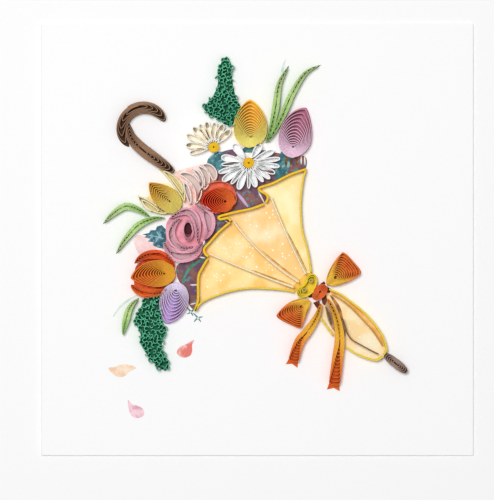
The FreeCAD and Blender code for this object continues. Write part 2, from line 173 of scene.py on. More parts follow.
def cardStock(name, hexText):
    # Smooth white card: a matt sheet, faintly fibrous, with hardly any shine
    material, tree, place = startMaterial(name)
    fibre = addNode(tree, "TexNoise", {}, {"Vector": place, "Scale": 1 / (0.8 * mm), "Detail": 5.0})
    tone = addNode(tree, "MapRange", easedRange, {
        "Value": fibre.outputs["Fac"], "From Min": 0.2, "From Max": 0.8, "To Min": 0.985, "To Max": 1.0})
    color = addNode(tree, "Mix", colorMultiply, {0: 1.0, 6: hexText, 7: tone.outputs["Result"]})
    finishMaterial(tree, place, color.outputs[2], 0.8, 0.8, 0.02, 5.0)
    return material


# Lines that the strips follow

def arcPlaces(first, through, last, count):
    ax, ay = first
    bx, by = through
    cx, cy = last
    d = 2 * (ax * (by - cy) + bx * (cy - ay) + cx * (ay - by))
    aa, bb, cc = ax * ax + ay * ay, bx * bx + by * by, cx * cx + cy * cy
    ux = (aa * (by - cy) + bb * (cy - ay) + cc * (ay - by)) / d
    uy = (aa * (cx - bx) + bb * (ax - cx) + cc * (bx - ax)) / d
    radius = math.hypot(ax - ux, ay - uy)
    start = math.atan2(ay - uy, ax - ux)
    middle = (math.atan2(by - uy, bx - ux) - start) % math.tau
    sweep = (math.atan2(cy - uy, cx - ux) - start) % math.tau
    if middle > sweep:
        sweep -= math.tau
    angles = [start + sweep * i / count for i in range(count + 1)]
    return [(ux + radius * math.cos(angle), uy + radius * math.sin(angle)) for angle in angles]


def smoothPlaces(places, perSpan=12, closed=False):
    # A smooth curve through all the places
    count = len(places)
    spans = count if closed else count - 1
    result = []
    for i in range(spans):
        p0 = places[(i - 1) % count] if closed or i > 0 else places[0]
        p1 = places[i]
        p2 = places[(i + 1) % count]
        p3 = places[(i + 2) % count] if closed or i + 2 < count else places[-1]
        for k in range(perSpan):
            t = k / perSpan
            result.append(tuple(
                0.5 * (2 * p1[n] + (p2[n] - p0[n]) * t + (2 * p0[n] - 5 * p1[n] + 4 * p2[n] - p3[n]) * t * t
                       + (3 * p1[n] - p0[n] - 3 * p2[n] + p3[n]) * t ** 3) for n in (0, 1)))
    if not closed:
        result.append(places[-1])
    return result


def linePlaces(places):
    if len(places) == 2:
        (ax, ay), (bx, by) = places
        return [(ax + (bx - ax) * i / 24, ay + (by - ay) * i / 24) for i in range(25)]
    if len(places) == 3:
        return arcPlaces(places[0], places[1], places[2], 60)
    return smoothPlaces(places)


class Spine:
    def __init__(self, places):
        self.points = linePlaces(places)
        self.reached = [0.0]
        for (ax, ay), (bx, by) in zip(self.points, self.points[1:]):
            self.reached.append(self.reached[-1] + math.hypot(bx - ax, by - ay))
        self.length = self.reached[-1]

    def beside(self, along, aside):
        along = min(max(along, 0.0), self.length)
        low, high = 0, len(self.points) - 2
        while low < high:
            middle = (low + high + 1) // 2
            if self.reached[middle] <= along:
                low = middle
            else:
                high = middle - 1
        (ax, ay), (bx, by) = self.points[low], self.points[low + 1]
        span = self.reached[low + 1] - self.reached[low]
        share = (along - self.reached[low]) / span
        tx, ty = self.tangent(low, share)
        return (ax + (bx - ax) * share - ty * aside, ay + (by - ay) * share + tx * aside)

    def tangent(self, place, share):
        # blended between neighbouring runs, so that wide coils stay smooth
        def run(i):
            i = min(max(i, 0), len(self.points) - 2)
            (ax, ay), (bx, by) = self.points[i], self.points[i + 1]
            size = math.hypot(bx - ax, by - ay)
            return ((bx - ax) / size, (by - ay) / size)
        other = run(place + 1) if share > 0.5 else run(place - 1)
        weight = abs(share - 0.5)
        own = run(place)
        tx = own[0] * (1 - weight) + other[0] * weight
        ty = own[1] * (1 - weight) + other[1] * weight
        size = math.hypot(tx, ty)
        return (tx / size, ty / size)


def halfWidth(share, half, widest, ends, fullness):
    if share < widest:
        part, power = share / widest, ends[0]
    else:
        part, power = (1 - share) / (1 - widest), ends[1]
    return half * max(1 - (1 - part) ** fullness, 0.0) ** power


def coilLines(look, thickness):
    # Outline of a pinched coil, outline of its innermost turn, and the one long spiral that its strip follows
    spine = Spine(look["spine"])
    widest = look.get("widest", 0.5)
    ends = look.get("ends", (0.5, 0.5))
    core = look.get("core", (0.5, 0.0))
    fullness = look.get("fullness", 2.0)
    inner = look.get("inner", 0.06)
    steps = look.get("steps", 44)
    half = (look["width"] - thickness) / 2
    coreAlong = core[0] * spine.length
    coreAside = core[1] * halfWidth(core[0], half, widest, ends, fullness)

    hold = look.get("hold", 1.0)  # how fast the pinch fades from turn to turn
    relax = look.get("relax", False)  # the inner turns lose the outer shape altogether
    loose = look.get("loose", 1.0)  # above 1, the outer turns stand further apart on the open side

    def flatPoint(angle, size):
        share = (1 - math.cos(angle)) / 2
        kept = size ** hold
        rounder = [0.5 + (end - 0.5) * kept for end in ends]
        middle = 0.5 + (widest - 0.5) * kept if relax else widest
        bulge = 2 + (fullness - 2) * kept if relax else fullness
        aside = halfWidth(share, half, middle, rounder, bulge)
        if math.sin(angle) < 0:
            aside = -aside
        toOpen = 1 - share if core[0] > 0.5 else share
        blend = toOpen * toOpen * (3 - 2 * toOpen)
        reach = size + (size ** loose - size) * blend
        along = coreAlong + reach * (share * spine.length - coreAlong)
        return (along, coreAside + size * (aside - coreAside))

    room = spine.length
    for i in range(36):
        x1, y1 = flatPoint(i * math.pi / 18, 1.0)
        x2, y2 = flatPoint((i + 1) * math.pi / 18, 1.0)
        side = max(math.hypot(x2 - x1, y2 - y1), 0.001)
        room = min(room, abs((x2 - x1) * (coreAside - y1) - (y2 - y1) * (coreAlong - x1)) / side)
    inner = max(inner, min(1.2 * thickness / room, 0.8))
    turns = max(min(look["turns"], (1 - inner) * room / (thickness + 0.01)), 1.0)
    count = int(turns * steps)
    spiral = []
    for i in range(count + 1):
        size = 1 - (1 - inner) * i / count
        spiral.append(spine.beside(*flatPoint(math.tau * (look.get("seam", 0.5) + i / steps), size)))
    outline, innermost = [
        [spine.beside(*flatPoint(math.tau * i / steps, size)) for i in range(steps)] for size in (1.0, inner)]
    return outline, innermost, spiral


# Shapes

def raiseLines(name, lines, height, closed):
    # The lines drawn as one curve, raised into walls, or filled where they are closed; left open for editing
    pickNothing()
    bpy.ops.curve.primitive_bezier_curve_add(radius=mm, location=(0, 0, 0))
    piece = bpy.context.object
    piece.name = name
    curve = piece.data
    curve.dimensions = "2D"
    curve.fill_mode = "BOTH" if closed else "NONE"
    curve.splines.clear()
    for line in lines:
        spline = curve.splines.new("POLY")
        spline.points.add(len(line) - 1)
        for point, (x, y) in zip(spline.points, line):
            point.co = (x * mm, y * mm, 0.0, 1.0)
        spline.use_cyclic_u = closed
    curve.extrude = height / 2 * mm
    bpy.ops.object.convert(target="MESH")
    bpy.ops.object.mode_set(mode="EDIT")
    bpy.ops.mesh.select_all(action="SELECT")
    return bpy.context.object


def standStrips(name, lines, thickness):
    # Paper on edge: each line is raised into a ribbon, then given the paper's thickness
    piece = raiseLines(name, lines, stripHeight, False)
    bpy.ops.transform.translate(value=(0, 0, (cardTop + stripHeight / 2) * mm))
    bpy.ops.object.mode_set(mode="OBJECT")
    wall = piece.modifiers.new("paper", "SOLIDIFY")
    wall.thickness = thickness * mm
    wall.offset = 0.0
    wall.use_even_offset = True
    wall.thickness_clamp = 0.0
    bpy.ops.object.modifier_apply(modifier="paper")
    bpy.ops.object.mode_set(mode="EDIT")
    bpy.ops.mesh.select_all(action="SELECT")
    bpy.ops.mesh.normals_make_consistent(inside=False)
    bpy.ops.object.mode_set(mode="OBJECT")
    return piece


def flatShape(name, outlines, layer):
    # A filled outline, hardly thicker than its ink, on the card: the print, and the flat sheets of painted
    # shade
    piece = raiseLines(name, outlines, inkThickness, True)
    bpy.ops.mesh.remove_doubles(threshold=0.001 * mm)
    bpy.ops.mesh.normals_make_consistent(inside=False)
    bpy.ops.transform.translate(value=(0, 0, (cardTop + layer * inkThickness + inkThickness / 2) * mm))
    bpy.ops.object.mode_set(mode="OBJECT")
    return piece


def pieceName(node):
    return node.replace("_", " ").title().replace(" ", "")


def dress(piece, material, nodes=()):
    piece.data.materials.clear()
    piece.data.materials.append(material)
    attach(piece, "root")
    if nodes:
        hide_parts(*nodes)


def forkedEnd(places, reach):
    # The swallowtail cut at the end of a ribbon
    (ax, ay), (bx, by) = places[-2], places[-1]
    size = math.hypot(bx - ax, by - ay)
    dx, dy = (bx - ax) / size, (by - ay) / size
    shape = ((-1.0, 0.9), (1.3, 1.15), (0.5, 0.0), (1.3, -1.15), (-1.0, -0.9))
    return [(bx + dx * on - dy * reach * out, by + dy * on + dx * reach * out) for on, out in shape]


def rollPiece(name, look, node=None):
    # One quilled coil: its strip, a ground that shows between its turns, painted in the well tone as the
    # shade down in the wells, and the floor inside them, blended with that painted shade
    thickness = look.get("thickness", 0.24)
    well, layer = look["well"], look.get("layer", 6)
    outline, innermost, spiral = coilLines(look, thickness)
    start, end = look.get("toneRun", (look["spine"][0], look["spine"][-1]))
    shade = look.get("wallShade", 0.8)
    paper = quillingPaper(name + " quilling paper", look["start"], look["end"], well, start, end, shade)
    dress(standStrips(name, [spiral], thickness), paper, [node] if node else ())
    shapes = [outline]
    if look.get("fork"):
        shapes.append(forkedEnd(look["spine"], look["fork"]))
    for i, shape in enumerate(shapes):
        # painted shade: the ground under the coil, in the well tone, stands in for the shade down between the
        # turns
        ink = printAndShadeInk(name + " painted well shade", well, look.get("ground", well), coilPatch)
        dress(flatShape(name + "Ground" + str(i), [shape], layer - i), ink)
    if look.get("floor"):
        # the floor blends its own tone with the painted well shade
        ink = printAndShadeInk(name + " floor blended with painted shade", look["floor"], well, coilPatch, look["floor"], 0.45)
        dress(flatShape(name + "Floor", [innermost], layer + 1), ink)


def stripPiece(node, places, look):
    # One strip on edge along a line
    paper = quillingPaper(
        node.replace("_", " ") + " paper", look["tone"], look["tone"], look["well"], places[0], places[-1])
    dress(standStrips(pieceName(node), [linePlaces(places)], look["thickness"]), paper, [node])


def ribbonOutline(places, width, taper, steps=24):
    # The outline of a brush stroke along a line
    spine = Spine(places)
    left, right = [], []
    for i in range(steps + 1):
        share = i / steps
        half = width / 2 * (1 - taper * abs(2 * share - 1) ** 2)
        left.append(spine.beside(spine.length * share, half))
        right.append(spine.beside(spine.length * share, -half))
    return left + right[::-1]


def layPrint(name, look):
    # Printed shapes, and the painted shade by the knot, between the tails and beside the ribs: brush strokes
    # along lines, or outlines, smoothed where the look says so
    if "lines" in look:
        shapes = [ribbonOutline(line, look["width"], 0.7) for line in look["lines"]]
    else:
        shapes = look.get("shapes") or [look["shape"]]
    if "smooth" in look:
        shapes = [smoothPlaces(shape, look["smooth"], True) for shape in shapes]
    if "dots" in look:
        ink = canopyInk("printed " + name + " wash", *look["tones"], *look["dots"], look["dotShare"])
    else:
        ink = printAndShadeInk("printed " + name, *look["tones"], look["patch"], *look.get("third", ()))
    dress(flatShape(name + "Print", shapes, look["layer"]), ink)


# Handle and tip

crook = {
    "spine": [(-32.6, 41.5), (-45.3, 44.1), (-45.0, 32.6)], "width": 4.4, "ends": (0.5, 0.8), "fullness": 4.0,
    "core": (0.42, -0.25), "turns": 8, "seam": 0.75, "steps": 72, "start": "a88468", "end": "9c765c",
    "well": "4a2e1e",
}
shaft = {
    "spine": [
        (-45.1, 41.0), (-44.6, 36.8), (-42.9, 34.0), (-39.5, 30.9), (-36.0, 28.3), (-32.5, 25.9),
        (-29.2, 23.7)],
    "width": 4.5, "widest": 0.45, "ends": (0.9, 0.4), "fullness": 2.6, "core": (0.46, 0.0), "turns": 8,
    "seam": 0.25, "steps": 60, "start": "9c765c", "end": "a88468", "well": "4a2e1e",
}
umbrellaTip = {
    "spine": [(45.0, -40.6), (52.8, -46.9)], "width": 3.4, "widest": 0.45, "ends": (0.4, 0.4),
    "fullness": 2.6, "turns": 6, "seam": 0.25, "start": "a88c80", "end": "a08478", "well": "6a5048",
}
rollPiece("crook", crook, "handle_crook_coil")
rollPiece("shaft", shaft, "handle_shaft_coil")
rollPiece("umbrellaTip", umbrellaTip, "umbrella_tip_coil")
print("handle rolled")

# Buds

yellowBud = {
    "spine": [(-2.5, 49.3), (-2.1, 32.3)], "width": 12.2, "widest": 0.62, "ends": (0.7, 0.5),
    "core": (0.78, 0.0), "turns": 14, "hold": 3.0, "loose": 1.5, "start": "ffd454", "end": "fff080",
    "well": "fcbc38", "ground": "ffcc48",
}
mauveBud = {
    "spine": [(17.4, 46.4), (14.6, 40.5), (13.2, 28.8)], "width": 12.0, "widest": 0.62, "ends": (0.75, 0.5),
    "core": (0.8, -0.05), "turns": 13, "hold": 2.5, "loose": 1.65, "start": "dea0b8", "end": "ffd6f0",
    "well": "bc7690",
}
lavenderBud = {
    "spine": [(-32.3, -29.9), (-29.6, -22.5), (-28.0, -15.3)], "width": 10.4, "widest": 0.6,
    "ends": (0.75, 0.5), "core": (0.82, 0.0), "turns": 12, "hold": 2.0, "loose": 1.4, "start": "eec2f0",
    "end": "f2e2ff", "well": "c8aee0",
}
redBudWrap = {
    "spine": [(-21.1, 14.6), (-7.2, 15.0)], "width": 11.6, "widest": 0.56, "ends": (0.65, 0.5), "turns": 1,
    "inner": 0.97, "start": "f07a5c", "end": "f47c58", "well": "dc5a3c", "ground": "ec7a5c", "layer": 5,
}
redBud = {
    "spine": [(-19.6, 13.3), (-7.7, 14.0)], "width": 9.3, "widest": 0.58, "ends": (0.6, 0.5),
    "core": (0.72, -0.1), "turns": 10, "hold": 1.6, "loose": 1.1, "start": "f43c1c", "end": "ff7834",
    "well": "981404", "ground": "ac1c08",
}
rollPiece("yellowBud", yellowBud, "yellow_bud_coil")
rollPiece("mauveBud", mauveBud, "mauve_bud_coil")
rollPiece("lavenderBud", lavenderBud, "lavender_bud_coil")
rollPiece("redBudWrap", redBudWrap, "red_orange_bud_coil")
rollPiece("redBud", redBud)
print("buds rolled")

# Tulips

yellowPetal = {"turns": 2, "inner": 0.4, "thickness": 0.34, "start": "fffad8", "wallShade": 0.95}
yellowTulipUpper = {
    **yellowPetal, "spine": [(-34.9, 24.8), (-28.7, 20.1), (-25.6, 12.6)], "width": 3.1, "ends": (0.9, 0.9),
    "core": (0.5, 0.3), "seam": 0.25, "end": "fff2a8", "well": "e4d49c",
}
yellowTulipHeart = {
    "spine": [(-38.1, 20.0), (-33.2, 15.4), (-26.8, 10.8)], "width": 8.7, "widest": 0.62, "ends": (0.85, 0.5),
    "core": (0.68, 0.0), "turns": 12, "hold": 1.5, "loose": 1.2, "start": "f4b23c", "end": "fae678",
    "well": "d0a044",
}
yellowTulipLower = {
    **yellowPetal, "spine": [(-42.0, 15.4), (-37.6, 11.8), (-30.0, 8.7)], "width": 3.4, "widest": 0.4,
    "ends": (0.8, 0.9), "core": (0.4, -0.3), "seam": 0.75, "end": "fff0a4", "well": "dccc98",
}
orangePetal = {"ends": (0.7, 0.8), "turns": 6, "inner": 0.3, "thickness": 0.15, "wallShade": 0.9}
orangeTulipUpper = {
    **orangePetal, "spine": [(-43.2, -8.6), (-36.0, -5.3), (-28.9, -9.9)], "width": 3.4, "core": (0.55, 0.1),
    "seam": 0.25, "start": "ff6c34", "end": "ff5c26", "well": "b42c0c", "ground": "8c2008", "floor": "d44818",
}
orangeTulipHeart = {
    "spine": [(-44.6, -13.8), (-37.0, -12.1), (-28.7, -12.4)], "width": 9.7, "widest": 0.62,
    "ends": (0.8, 0.5), "core": (0.76, 0.0), "turns": 12, "hold": 2.0, "loose": 1.3, "start": "fc8030",
    "end": "ffb63a", "well": "da6a1c",
}
orangeTulipLower = {
    **orangePetal, "spine": [(-44.4, -16.0), (-38.7, -19.0), (-31.2, -17.1)], "width": 3.5, "widest": 0.42,
    "core": (0.42, -0.1), "seam": 0.75, "start": "ff7430", "end": "ff7430", "well": "dc4814",
    "ground": "b83810", "floor": "ec6424",
}
rollPiece("yellowTulipUpper", yellowTulipUpper, "yellow_tulip_upper_petal")
rollPiece("yellowTulipHeart", yellowTulipHeart, "yellow_tulip_heart")
rollPiece("yellowTulipLower", yellowTulipLower, "yellow_tulip_lower_petal")
rollPiece("orangeTulipUpper", orangeTulipUpper, "orange_tulip_upper_petal")
rollPiece("orangeTulipHeart", orangeTulipHeart, "orange_tulip_heart")
rollPiece("orangeTulipLower", orangeTulipLower, "orange_tulip_lower_petal")
print("tulips rolled")

# Blush flower and rose

blush = {
    "start": "fff4f0", "end": "ffe4dc", "well": "d8c6be", "ground": "d4c2ba", "wallShade": 1.0, "inner": 0.9,
    "thickness": 0.42, "turns": 1, "seam": 0.75, "widest": 0.45,
}
blushPetals = {
    "blush_petal_left": {
        "spine": [(-27.3, 23.0), (-22.5, 20.9), (-22.0, 12.1)], "width": 3.3, "ends": (0.6, 0.9),
        "core": (0.45, -0.2)},
    "blush_petal_middle": {
        "spine": [(-22.8, 24.6), (-19.8, 21.3), (-20.2, 16.7)], "width": 1.7, "ends": (0.7, 0.8)},
    "blush_petal_right": {
        "spine": [(-20.8, 25.6), (-18.0, 22.6), (-18.9, 17.2)], "width": 2.5, "ends": (0.7, 0.9)},
    "blush_petal_end": {
        "spine": [(-19.2, 26.2), (-15.8, 24.0), (-15.4, 20.5)], "width": 3.1, "widest": 0.6,
        "ends": (0.7, 0.6)},
    "blush_petal_curl": {
        "spine": [(-25.6, 20.0), (-24.2, 16.0), (-23.5, 12.0)], "width": 2.2, "widest": 0.4,
        "ends": (0.6, 0.8)},
}
for node, look in blushPetals.items():
    rollPiece(pieceName(node), {**blush, **look}, node)

rosePaper = {
    "start": "ffc2d0", "end": "ffb2c6", "well": "9c5c6a", "ground": "7c3c4c", "wallShade": 0.95, "inner": 0.5,
    "floor": "ccaab2", "thickness": 0.14, "steps": 60,
}
rosePetals = {
    "rose_petal_top": {
        "spine": [(-31.0, 7.0), (-27.9, 9.1), (-24.7, 9.9), (-22.2, 8.2), (-21.0, 4.7), (-20.9, -1.4)],
        "width": 3.0, "ends": (0.7, 0.8), "core": (0.5, 0.1), "turns": 5, "seam": 0.25},
    "rose_petal_right": {
        "spine": [(-21.5, 12.0), (-17.1, 6.8), (-18.9, -0.4)], "width": 4.8, "widest": 0.45,
        "ends": (0.8, 0.9), "turns": 8, "seam": 0.75},
    "rose_petal_left": {
        "spine": [(-26.6, 7.2), (-30.3, 2.2), (-22.4, -2.5)], "width": 3.2, "ends": (0.7, 0.8),
        "core": (0.5, -0.1), "turns": 5, "seam": 0.75},
    "rose_petal_bottom": {
        "spine": [(-32.6, -1.0), (-25.9, -6.1), (-19.4, -0.9)], "width": 4.5, "ends": (0.7, 0.7), "turns": 7,
        "seam": 0.75},
    "rose_centre_coil": {
        "spine": [(-24.3, 6.9), (-24.3, -0.7)], "width": 4.2, "turns": 3, "inner": 0.7, "steps": 44,
        "core": (0.4, 0.0), "seam": 0.25, "well": "b05a70", "ground": "c46c84", "floor": "8c3c50"},
}
for node, look in rosePetals.items():
    rollPiece(pieceName(node), {**rosePaper, **look}, node)
print("rose and blush flower rolled")

# Daisies

creamDaisy = {
    "centre": (-15.3, 32.4), "centreWidth": 3.8, "thickness": 0.34, "bedShare": 0.9, "openFan": True,
    "patch": 2.0, "rim": "fffbf0", "well": "fdf4e2", "shade": "efe2c8", "bed": "fdf6ea", "heart": "fccb28",
    "tips": [
        (-25.2, 33.2, 2.5), (-24.9, 36.8, 2.4), (-22.6, 39.5, 2.5), (-20.3, 40.6, 2.0), (-17.9, 41.5, 2.2),
        (-14.9, 41.2, 2.3), (-11.9, 40.6, 2.4), (-9.4, 38.5, 2.5), (-23.8, 30.3, 2.0)],
    # painted shade: tan ovals in the wells near the petal tips
    "tipShades": [(-24.0, 33.2), (-21.9, 38.4), (-17.5, 40.1), (-12.4, 39.1), (-10.4, 37.3)],
    "tipShadeTone": "b4aa90", "spotReach": 0.9, "spotWidth": 1.5,
}
whiteDaisy = {
    "centre": (-3.0, 26.9), "centreWidth": 3.9, "thickness": 0.36, "bedShare": 0.55, "openFan": False,
    "patch": 2.0, "rim": "ffffff", "well": "ffffff", "shade": "e2e6e8", "bed": "fafafa", "heart": "fcc424",
    "tips": [
        (-8.4, 33.6, 3.0), (-12.6, 29.0, 2.8), (-12.6, 26.3, 1.5), (-13.6, 23.4, 2.0), (-12.3, 20.5, 2.6),
        (-9.2, 19.4, 1.6), (-6.6, 17.5, 2.7), (-2.9, 17.8, 1.4), (-0.4, 18.3, 2.4), (2.2, 20.2, 1.7),
        (4.6, 21.3, 1.9), (6.4, 23.2, 2.1), (8.0, 25.6, 1.9), (8.2, 28.4, 1.9), (5.9, 31.2, 2.4),
        (1.4, 33.4, 2.7)],
}


def around(centre, place):
    return math.atan2(place[1] - centre[1], place[0] - centre[0])


def daisy(name, look, petalNode, heartNode):
    x, y = look["centre"]
    reach, thickness = look["centreWidth"] / 2, look["thickness"]
    outlines, lines = [], []
    for tipX, tipY, width in look["tips"]:
        angle = around((x, y), (tipX, tipY))
        petal = {
            "spine": [(x + reach * math.cos(angle), y + reach * math.sin(angle)), (tipX, tipY)],
            "width": width, "widest": 0.7, "ends": (0.95, 0.45), "core": (0.6, 0.0), "turns": 1, "seam": 0.0,
            "inner": 0.9, "steps": 28,
        }
        outline, _, spiral = coilLines(petal, thickness)
        outlines.append(outline)
        lines.append(spiral)
    rim, well, shade, patch = look["rim"], look["well"], look["shade"], look["patch"]
    paper = quillingPaper(name + " quilling paper", rim, rim, well, (0, 0), (1, 0), 1.0)
    dress(standStrips(name + "Petals", lines, thickness), paper, [petalNode])
    share = look["bedShare"]
    ordered = sorted(look["tips"], key=lambda tip: around((x, y), tip) % math.tau)
    bed = [(x + share * (tipX - x), y + share * (tipY - y)) for tipX, tipY, width in ordered]
    if look["openFan"]:
        bed.append((x, y))
    # the bed mixes its own tone with the painted shade tone
    bedInk = printAndShadeInk(name + " bed with painted shade patches", look["bed"], shade, patch)
    dress(flatShape(name + "Bed", [bed], 5), bedInk)
    # painted shade inside the petals: the well tone mixed with the shade tone
    wellInk = printAndShadeInk(name + " painted well shade", well, shade, patch)
    dress(flatShape(name + "Ground", outlines, 6), wellInk)
    # painted shade in the wells near the petal tips
    if look.get("tipShades"):
        spotReach, ovals = look["spotReach"], []
        for spotX, spotY in look["tipShades"]:
            angle = around((x, y), (spotX, spotY))
            dx, dy = spotReach * math.cos(angle), spotReach * math.sin(angle)
            line = [(spotX - dx, spotY - dy), (spotX + dx, spotY + dy)]
            ovals.append(ribbonOutline(line, look["spotWidth"], 0.9))
        tipShadeInk = printAndShadeInk(name + " painted tip shade", look["tipShadeTone"], look["tipShadeTone"], patch)
        dress(flatShape(name + "TipShades", ovals, 8), tipShadeInk)
    heart = {
        "spine": [(x - reach, y), (x + reach, y)], "width": look["centreWidth"], "turns": 8, "seam": 0.25,
        "steps": 32, "start": look["heart"], "end": look["heart"], "well": "d8961c",
    }
    rollPiece(name + "Heart", heart, heartNode)


daisy("creamDaisy", creamDaisy, "cream_daisy_petals", "cream_daisy_centre")
daisy("whiteDaisy", whiteDaisy, "white_daisy_petals", "white_daisy_centre")
print("daisies rolled")

# Grass

grassPaper = {
    "width": 2.6, "ends": (0.8, 0.85), "turns": 8, "seam": 0.25, "inner": 0.12, "thickness": 0.11,
    "start": "def8b0", "end": "bcec88", "well": "4c8430", "ground": "2c5c18",
}
grassBlades = {
    "grass_upper_left": [(11.3, 61.3), (7.9, 54.8), (6.7, 47.4), (5.1, 39.6), (3.0, 33.8)],
    "grass_upper_right": [(22.6, 61.5), (16.9, 58.3), (12.0, 50.5), (8.1, 41.7), (3.9, 34.0)],
    "grass_left_pale": [(-54.3, 5.4), (-50.8, 8.9), (-46.4, 11.6), (-41.8, 10.4), (-37.4, 7.6)],
    "grass_left_broad": [(-49.7, -5.2), (-46.6, -0.3), (-42.0, 4.7), (-37.0, 7.1), (-32.4, 7.6)],
    "grass_lower": [(-41.6, -20.7), (-44.6, -23.9), (-46.2, -28.5), (-47.3, -33.8)],
}
for node, spine in grassBlades.items():
    rollPiece(pieceName(node), {**grassPaper, "spine": spine}, node)
print("grass rolled")

# Leaf sprays

upperSpray = {
    "outline": [
        (-10.8, 64.4), (-13.4, 60.4), (-13.9, 54.4), (-15.6, 50.5), (-18.6, 46.5), (-16.8, 44.0),
        (-13.7, 42.4), (-11.0, 40.4), (-9.0, 40.2), (-7.2, 42.8), (-5.6, 46.3), (-7.4, 49.8), (-8.7, 56.2),
        (-9.0, 61.1)],
    "curls": 170, "seed": 4,
}
lowerSpray = {
    "outline": [
        (-39.0, -20.1), (-34.4, -20.4), (-34.2, -25.3), (-33.3, -29.2), (-32.0, -32.4), (-33.2, -35.5),
        (-33.6, -39.1), (-31.3, -43.3), (-32.2, -46.4), (-36.0, -44.0), (-39.0, -40.4), (-41.1, -36.6),
        (-41.2, -33.1), (-43.2, -28.5), (-41.3, -25.0), (-40.4, -22.5)],
    "curls": 200, "seed": 9,
}
sprayPaper = {
    "rim": "66cca0", "deep": "56bc94", "well": "1e7450", "shade": "0f5a3c", "patch": 1.5, "wallShade": 0.9,
    "thickness": 0.26,
}
curlLook = {
    "radius": (0.7, 1.15), "sweep": (3.2, 5.6), "closing": 0.5, "steps": 9, "spacing": 1.25, "tries": 20000,
}


def insideOutline(x, y, outline):
    inside = False
    for (ax, ay), (bx, by) in zip(outline, outline[1:] + outline[:1]):
        if (ay > y) != (by > y) and x < (bx - ax) * (y - ay) / (by - ay) + ax:
            inside = not inside
    return inside


def leafSpray(name, look, node):
    chance = random.Random(look["seed"])
    outline = smoothPlaces(look["outline"], 6, closed=True)
    xs, ys = [p[0] for p in outline], [p[1] for p in outline]
    lines, placed = [], []
    tries, steps = 0, curlLook["steps"]
    while len(lines) < look["curls"] and tries < curlLook["tries"]:
        tries += 1
        x, y = chance.uniform(min(xs), max(xs)), chance.uniform(min(ys), max(ys))
        crowded = any(math.hypot(x - px, y - py) < curlLook["spacing"] for px, py in placed)
        if crowded or not insideOutline(x, y, outline):
            continue
        placed.append((x, y))
        radius = chance.uniform(*curlLook["radius"])
        turned, sweep = chance.uniform(0, math.tau), chance.uniform(*curlLook["sweep"])
        hand = chance.choice((-1, 1))
        line = []
        for i in range(steps + 1):
            size, angle = radius * (1 - curlLook["closing"] * i / steps), turned + hand * sweep * i / steps
            line.append((x + size * math.cos(angle), y + size * math.sin(angle)))
        lines.append(line)
    topX, topY = look["outline"][0]
    paper = quillingPaper(name + " quilling paper", sprayPaper["rim"], sprayPaper["deep"], sprayPaper["well"],
                          (topX, topY), (topX, min(ys)), sprayPaper["wallShade"])
    dress(standStrips(name, lines, sprayPaper["thickness"]), paper, [node])
    # painted shade: a dark green ground between the curls, in the wells' tone
    ink = printAndShadeInk(name + " painted well shade", sprayPaper["well"], sprayPaper["shade"], sprayPaper["patch"])
    dress(flatShape(name + "Ground", [outline], 4), ink)


leafSpray("upperSpray", upperSpray, "upper_leaf_spray")
leafSpray("lowerSpray", lowerSpray, "lower_leaf_spray")
print("leaf sprays set")

# Canopy

canopyEdges = {
    "rim_scallop_first": [
        (17.3, 24.7), (11.6, 22.7), (5.6, 19.7), (0.9, 18.1), (1.2, 17.0), (3.2, 15.8), (3.8, 14.4),
        (3.0, 12.8)],
    "rim_scallop_second": [
        (2.4, 12.3), (-2.5, 10.6), (-7.8, 9.5), (-13.2, 8.0), (-12.9, 7.0), (-10.4, 7.4), (-9.2, 6.4)],
    "rim_scallop_third": [
        (-9.5, 5.9), (-13.1, 2.9), (-16.2, -0.6), (-18.5, -3.2), (-18.4, -4.9), (-17.2, -6.1)],
    "rim_scallop_fourth": [
        (-17.4, -7.0), (-19.1, -9.8), (-20.5, -12.6), (-20.8, -16.1), (-20.8, -21.4), (-21.9, -25.2)],
    "canopy_edge_right": [
        (17.1, 24.2), (16.2, 20.9), (15.5, 15.6), (15.3, 10.3), (15.9, 3.3), (17.3, -2.0), (18.4, -7.1),
        (19.0, -11.6)],
    "canopy_edge_lower": [
        (-21.7, -25.3), (-20.1, -22.8), (-16.6, -20.7), (-9.5, -18.3), (-2.5, -17.2), (4.6, -17.4),
        (9.9, -17.9), (13.1, -18.5)],
}
edgeLooks = {
    "rim": {"tone": "fccc2c", "well": "c88c18", "thickness": 0.8},
    "canopy": {"tone": "f8d83c", "well": "c88c18", "thickness": 0.6},
}
for node, places in canopyEdges.items():
    stripPiece(node, places, edgeLooks[node.split("_")[0]])

ribs = {
    "canopy_rib_upper": [(5.0, 14.6), (10.0, 2.5), (17.2, -12.4)],
    "canopy_rib_middle": [(-8.3, 6.3), (1.1, -4.5), (14.8, -15.2)],
    "canopy_rib_lower": [(-16.7, -5.2), (-2.5, -11.2), (12.9, -17.0)],
}
ribLook = {"tone": "fff2cc", "well": "c89c50", "thickness": 0.5}
for node, places in ribs.items():
    stripPiece(node, places, ribLook)
print("canopy edged")
